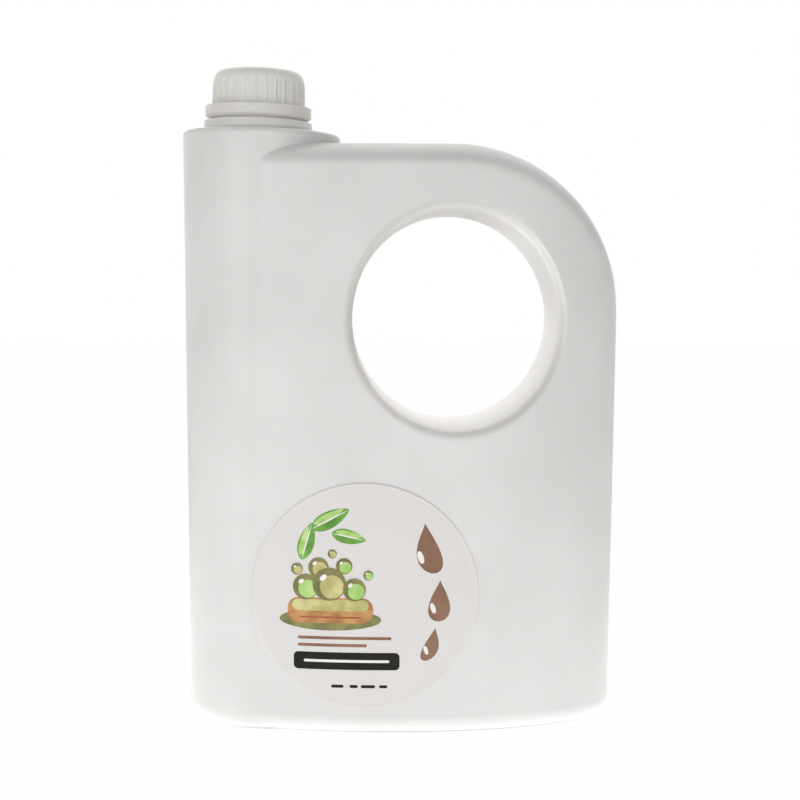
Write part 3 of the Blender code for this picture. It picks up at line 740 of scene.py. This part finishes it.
# Heights down the side, each with the share of their full height that the ribs have there.
for height, grip in (
    (rib_top + 0.6 * MM, 0.0),
    (rib_top + 0.4 * MM, 0.55),
    (rib_top, 0.9),
    (rib_top - 0.6 * MM, 1.0),
    (CAP_FOOT + 5.0 * MM, 1.0),
    (CAP_FOOT + 1.1 * MM, 1.0),
    (CAP_FOOT + 0.6 * MM, 0.6),
    (CAP_FOOT + 0.35 * MM, 0.0),
    (CAP_FOOT, -0.3),
):
    draft = CAP_DRAFT * (rib_top - height) / (rib_top - CAP_FOOT)
    cap_rings.append(cap_ring(CAP_RADIUS + max(0.0, draft), height, grip))
cap_rings += [
    cap_ring(CAP_BORE_RADIUS + CAP_LIP, CAP_FOOT, 0.0),
    cap_ring(CAP_BORE_RADIUS, CAP_FOOT + CAP_LIP, 0.0),
    cap_ring(CAP_BORE_RADIUS, CAP_CEILING - CAP_INNER_CHAMFER, 0.0),
    cap_ring(CAP_BORE_RADIUS - CAP_INNER_CHAMFER, CAP_CEILING, 0.0),
    cap_ring(CAP_MIDDLE_RADIUS, CAP_CEILING, 0.0),
]
cap = draw_up("ribbed_cap", cap_rings)
root, tip = CAP_BORE_RADIUS + THREAD_ROOT, CAP_BORE_RADIUS - THREAD_DEPTH
thread = draw_up("cap_thread", thread_rings(root, tip, CAP_THREAD_START, THREAD_TURNS))
cut(cap, thread, "UNION")
finish_piece(cap, polypropylene, "cap", "white_plastic", "screw_cap")


# The liner: a punched disc of white closed-cell foam that the cap presses on the neck's rim. Its
# plain solid has the right shape, so it stays and takes the foam's finish.
CELL_WIDTH = 0.4 * MM

# Extruded polyethylene foam: dull and white, pitted by its fine cells where it was punched.
foam = bpy.data.materials.new("closed_cell_foam")
foam.use_nodes = True
tree = foam.node_tree
tree.nodes.clear()
place = node(tree, "ShaderNodeTexCoord").outputs["Object"]
cells = node(tree, "ShaderNodeTexVoronoi", {"Scale": 1 / CELL_WIDTH}, Vector=place)
cells = cells.outputs["Distance"]
tint = node(tree, "ShaderNodeValToRGB", Fac=cells)
low, high = tint.color_ramp.elements
low.color, high.color = linear("#E6E5E0"), linear("#F0EFEB")
relief = node(tree, "ShaderNodeBump", {"Strength": 0.5, "Distance": 0.0001}, Height=cells)
matt = node(
    tree,
    "ShaderNodeBsdfPrincipled",
    {"Roughness": 0.85, "IOR": 1.5},
    Base_Color=tint.outputs[0],
    Normal=relief.outputs[0],
)
node(tree, "ShaderNodeOutputMaterial", Surface=matt.outputs[0])
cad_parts["cap_liner"].material_slots[0].material = foam


# The label: a round sticker of clear film, printed and stuck low on the front. Its film is a thin
# disc that follows the blown face, and its material paints a hair-thin highlight along the cut
# edge.
LABEL_X = -18.7 * MM
LABEL_Z = 69.5 * MM
LABEL_RADIUS = 55.7 * MM
LABEL_OFFSET = 0.3 * MM
LABEL_THICKNESS = 0.15 * MM
LABEL_EDGE_WIDTH = 1.0 * MM
LABEL_EDGE_FADE = 0.7 * MM
FILM_RIPPLE_WIDTH = 22.22 * MM
FACE_STEP_MM = 2.0
CENTRE_SHARE = 0.02


def on_face(x, z, offset):
    """A point in front of the jug's face, by its place on the label in millimetres."""
    x, z = LABEL_X + x * MM, LABEL_Z + z * MM
    return (x, -half_depth(x, z, 0.0) - offset, z)


def laid_on(name, middle, outline, back, front):
    """A thin shape laid on the face: drawn out along its back, then in again along its front."""
    rows = max(3, round(max(math.hypot(*point) for point in outline) / FACE_STEP_MM))
    shares = [CENTRE_SHARE] + [i / rows for i in range(1, rows + 1)]
    rings = []
    for order, offset in ((shares, back), (shares[::-1], front)):
        for share in order:
            points = [(middle[0] + a * share, middle[1] + b * share) for a, b in outline]
            rings.append([on_face(x, z, offset) for x, z in points])
    return draw_up(name, rings)


def oval(half_width, half_height, tilt=0.0, points=40):
    """An oval outline about its middle, turned by a tilt in degrees."""
    c, s = math.cos(math.radians(tilt)), math.sin(math.radians(tilt))
    outline = []
    for i in range(points):
        turn = math.tau * i / points
        a, b = half_width * math.cos(turn), half_height * math.sin(turn)
        outline.append((a * c - b * s, a * s + b * c))
    return outline


film_front = LABEL_OFFSET + LABEL_THICKNESS
disc = oval(LABEL_RADIUS / MM, LABEL_RADIUS / MM, points=144)
label = laid_on("label_film", (0.0, 0.0), disc, LABEL_OFFSET, film_front)

# Clear film with its glue over the milky jug: a shade greyer than the bare plastic, laid on in
# slow ripples, and a painted highlight, a lighter tint, runs round its cut edge.
film = bpy.data.materials.new("clear_polypropylene_film")
film.use_nodes = True
tree = film.node_tree
tree.nodes.clear()
place = node(tree, "ShaderNodeTexCoord").outputs["Object"]
label_middle = {"operation": "SUBTRACT", 1: (LABEL_X, -DEPTH / 2, LABEL_Z)}
flattened = {"operation": "MULTIPLY", 1: (1.0, 0.0, 1.0)}
start = LABEL_RADIUS - LABEL_EDGE_WIDTH
edge_ends = {"From Min": start, "From Max": start + LABEL_EDGE_FADE}
reach = node(tree, "ShaderNodeVectorMath", label_middle, i0=place)
reach = node(tree, "ShaderNodeVectorMath", flattened, i0=reach.outputs[0])
reach = node(tree, "ShaderNodeVectorMath", {"operation": "LENGTH"}, i0=reach.outputs[0])
edge = node(tree, "ShaderNodeMapRange", edge_ends, Value=reach.outputs["Value"])
ripples = {"Scale": 1 / FILM_RIPPLE_WIDTH, "Detail": 2.0}
ripple = node(tree, "ShaderNodeTexNoise", ripples, Vector=place)
ripple = ripple.outputs["Fac"]
tint = node(tree, "ShaderNodeValToRGB", Fac=ripple)
low, high = tint.color_ramp.elements
low.color, high.color = linear("#DDDBDA"), linear("#E2E0DF")
# Painted highlight: a lighter tint in a thin ring along the film's cut edge.
shade = {"data_type": "RGBA", 7: linear("#E8E6E5")}
rim = node(tree, "ShaderNodeMix", shade, i0=edge.outputs[0], i6=tint.outputs[0])
relief = node(tree, "ShaderNodeBump", {"Strength": 0.15, "Distance": 0.0004}, Height=ripple)
sheet = node(
    tree,
    "ShaderNodeBsdfPrincipled",
    {"Roughness": 0.42, "IOR": 1.49},
    Base_Color=rim.outputs[2],
    Normal=relief.outputs[0],
)
node(tree, "ShaderNodeOutputMaterial", Surface=sheet.outputs[0])
finish_piece(label, film, "jug", "clear_film", "front_label")


# The print: flat inks on the film, in a plain design of drops, a leafy sprig, soap bubbles on a
# bar of soap, and ruled bars. Each ink is a thin layer of its own on the one before. Places and
# sizes on the label are in millimetres from its middle.
INK = 0.03 * MM
DROP_MIDDLE = 0.14
BAR_STEP_MM = 4.0


def drop(radius, height, tilt, points=48):
    """A water drop's outline about the middle of its round part, drawn to a point above."""
    c, s = math.cos(math.radians(tilt)), math.sin(math.radians(tilt))
    outline = []
    for i in range(points):
        turn = math.tau * i / points
        a = radius * math.sin(turn) * math.sin(turn / 2) ** 1.4
        b = -height * math.cos(turn) / 2
        outline.append((a * c + b * s, height * DROP_MIDDLE - a * s - b * c))
    return outline


def leaf(length, width, tilt, points=40):
    """A leaf's outline: pointed at both ends and fuller near its stalk."""
    c, s = math.cos(math.radians(tilt)), math.sin(math.radians(tilt))
    outline = []
    for i in range(points):
        turn = math.tau * i / points
        along = (1.0 - math.cos(turn)) / 2
        a = length * (along - 0.5)
        b = width / 2 * math.sin(turn) * abs(math.sin(turn)) ** 0.35 * (1.15 - 0.45 * along)
        outline.append((a * c - b * s, a * s + b * c))
    return outline


def bar(width, height, radius, points=5):
    """A bar's outline with round corners, and points along its straight sides."""
    corners = []
    for q, (sx, sz) in enumerate(((1, 1), (-1, 1), (-1, -1), (1, -1))):
        x, z = sx * (width / 2 - radius), sz * (height / 2 - radius)
        turns = [math.radians(90 * q + 90 * i / points) for i in range(points + 1)]
        corners.append([(x + radius * math.cos(t), z + radius * math.sin(t)) for t in turns])
    outline = []
    for corner, following, side in zip(corners, corners[1:] + corners[:1], (width, height) * 2):
        outline += corner
        a, b = corner[-1], following[0]
        count = max(1, round(side / BAR_STEP_MM))
        for i in range(1, count):
            outline.append((a[0] + (b[0] - a[0]) * i / count, a[1] + (b[1] - a[1]) * i / count))
    return outline


# Printing ink: a flat satin layer. Its dots, about 0.1 mm, are too fine to show, so each ink
# varies a little in patches instead, whose width is given in millimetres.
def ink(name, dark, light, patch_mm, shine=0.5):
    """The material of one printed ink, between a darker and a lighter tint."""
    made = bpy.data.materials.new(name)
    made.use_nodes = True
    tree = made.node_tree
    tree.nodes.clear()
    place = node(tree, "ShaderNodeTexCoord").outputs["Object"]
    patches = {"Scale": 1 / (patch_mm * MM), "Detail": 2.0}
    patch = node(tree, "ShaderNodeTexNoise", patches, Vector=place)
    tint = node(tree, "ShaderNodeValToRGB", Fac=patch.outputs["Fac"])
    low, high = tint.color_ramp.elements
    low.position, high.position = 0.35, 0.65
    low.color, high.color = linear(dark), linear(light)
    settings = {"Roughness": 0.3, "IOR": 1.49, "Specular IOR Level": shine}
    skin = node(tree, "ShaderNodeBsdfPrincipled", settings, Base_Color=tint.outputs[0])
    node(tree, "ShaderNodeOutputMaterial", Surface=skin.outputs[0])
    return made


brown = ink("brown_ink", "#7F5A43", "#8E6A50", 11.11)
green = ink("leaf_green_ink", "#4F8A2B", "#77B246", 9.09)
pale_green = ink("pale_green_ink", "#9CCB63", "#C3DE8F", 6.25)
black = ink("black_ink", "#1C1C19", "#242320", 5.0, 0.15)
amber = ink("amber_ink", "#A8703C", "#CF9A5C", 6.67)
rust = ink("rust_ink", "#9A4A22", "#C4682F", 5.88)
olive = ink("olive_ink", "#6A6A38", "#8F8C4E", 8.33)
straw = ink("straw_ink", "#B5AF6C", "#D6D093", 8.33)
paper = ink("white_ink", "#EDECE8", "#F5F4F1", 12.5)


def printed(name, colour, layer, middle, outline):
    """Prints one flat shape about its middle. A higher layer lies on the lower ones."""
    front = film_front + INK * layer
    piece = laid_on(name, middle, outline, film_front - INK, front)
    finish_piece(piece, colour, "jug", "clear_film")


# Brown drops falling in an arc down the right of the label, from large to small, each with a
# white shine low on its left.
for i, (x, z, radius, height, tilt) in enumerate((
    (31.0, 24.0, 9.0, 25.0, 8.0),
    (36.5, -2.0, 7.6, 20.5, -2.0),
    (32.5, -23.5, 6.2, 16.5, -14.0),
)):
    middle = (x, z - height * DROP_MIDDLE)
    shine = (x - radius * 0.42, z - height * 0.18)
    printed(f"drop_{i}", brown, 1, middle, drop(radius, height, tilt))
    printed(f"drop_shine_{i}", paper, 2, shine, oval(radius * 0.16, radius * 0.36, 18))

# A sprig of green leaves over the top left, each with a light upper half and a white rib.
for i, (x, z, length, width, tilt) in enumerate((
    (-17.0, 38.0, 21.0, 9.0, 28.0),
    (-28.5, 27.0, 19.0, 8.4, 74.0),
    (-8.0, 29.5, 17.0, 7.6, -12.0),
)):
    c, s = math.cos(math.radians(tilt)), math.sin(math.radians(tilt))
    upper = (x - s * width * 0.17, z + c * width * 0.17)
    printed(f"leaf_{i}", green, 1, (x, z), leaf(length, width, tilt))
    printed(f"leaf_light_{i}", pale_green, 2, upper, leaf(length * 0.8, width * 0.42, tilt))
    printed(f"leaf_rib_{i}", paper, 3, (x, z), leaf(length * 0.92, width * 0.09, tilt))

# A bar of soap under a heap of olive-tinted bubbles, each with a glow low on its right and a
# shine high on its left.
printed("soap_shade", olive, 1, (-17.0, -11.5), oval(25.0, 5.4, points=64))
printed("soap_bar", amber, 2, (-17.0, -7.0), bar(42.0, 12.5, 5.4))
printed("soap_bar_top", straw, 3, (-17.0, -4.4), bar(37.5, 5.6, 2.7))
printed("soap_bar_line", rust, 3, (-17.0, -10.4), bar(30.0, 0.9, 0.4, 3))
for i, (x, z, radius) in enumerate((
    (-29.0, 4.6, 6.4),
    (-17.5, 6.0, 8.2),
    (-5.2, 3.4, 5.6),
    (-22.8, 14.2, 5.0),
    (-10.2, 15.0, 4.0),
    (-33.4, 13.2, 2.9),
    (1.6, 10.6, 2.5),
    (-16.0, 21.0, 2.2),
)):
    layer = 4 + i % 3 * 3
    glow = (x + radius * 0.16, z - radius * 0.16)
    shine = (x - radius * 0.36, z + radius * 0.4)
    light = straw if i % 2 else pale_green
    printed(f"bubble_{i}", olive, layer, (x, z), oval(radius, radius))
    printed(f"bubble_glow_{i}", light, layer + 1, glow, oval(radius * 0.72, radius * 0.7))
    printed(f"bubble_shine_{i}", paper, layer + 2, shine, oval(radius * 0.24, radius * 0.15, 40))

# Ruled bars where a label has its words: two brown lines, a black plate with a white rule, and
# a short row of black dashes at the foot.
printed("brown_rule_0", brown, 1, (-10.0, -20.6), bar(46.0, 1.5, 0.7, 3))
printed("brown_rule_1", brown, 1, (-16.0, -24.2), bar(34.0, 1.5, 0.7, 3))
printed("black_plate", black, 1, (-9.0, -32.0), bar(52.0, 8.6, 2.2))
printed("white_rule", paper, 2, (-9.0, -32.0), bar(42.0, 1.3, 0.6, 3))
for i, (x, width) in enumerate(((-13.5, 6.0), (-5.5, 4.0), (1.5, 7.0), (9.0, 4.0))):
    printed(f"foot_dash_{i}", black, 1, (x, -44.5), bar(width, 1.5, 0.6, 3))


# The soap inside: a pearly cream liquid at its fill height. Its plain solid has the right shape,
# so it stays and takes the soap's finish. The closed cap and the milky wall hide it.
SWIRL_WIDTH = 28.57 * MM

# Liquid soap: cream, glossy and a little cloudy, with the slow swirls of its pearly mica.
soap = bpy.data.materials.new("pearly_liquid_soap")
soap.use_nodes = True
tree = soap.node_tree
tree.nodes.clear()
place = node(tree, "ShaderNodeTexCoord").outputs["Object"]
swirls = {"Scale": 1 / SWIRL_WIDTH, "Detail": 4.0, "Distortion": 1.5}
swirl = node(tree, "ShaderNodeTexNoise", swirls, Vector=place)
tint = node(tree, "ShaderNodeValToRGB", Fac=swirl.outputs["Fac"])
low, high = tint.color_ramp.elements
low.color, high.color = linear("#EFEBDD"), linear("#F7F4EA")
liquid = node(
    tree,
    "ShaderNodeBsdfPrincipled",
    {"Roughness": 0.18, "IOR": 1.36, "Subsurface Weight": 0.4, "Subsurface Scale": 0.003},
    Base_Color=tint.outputs[0],
)
node(tree, "ShaderNodeOutputMaterial", Surface=liquid.outputs[0])
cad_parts["soap_fill"].material_slots[0].material = soap
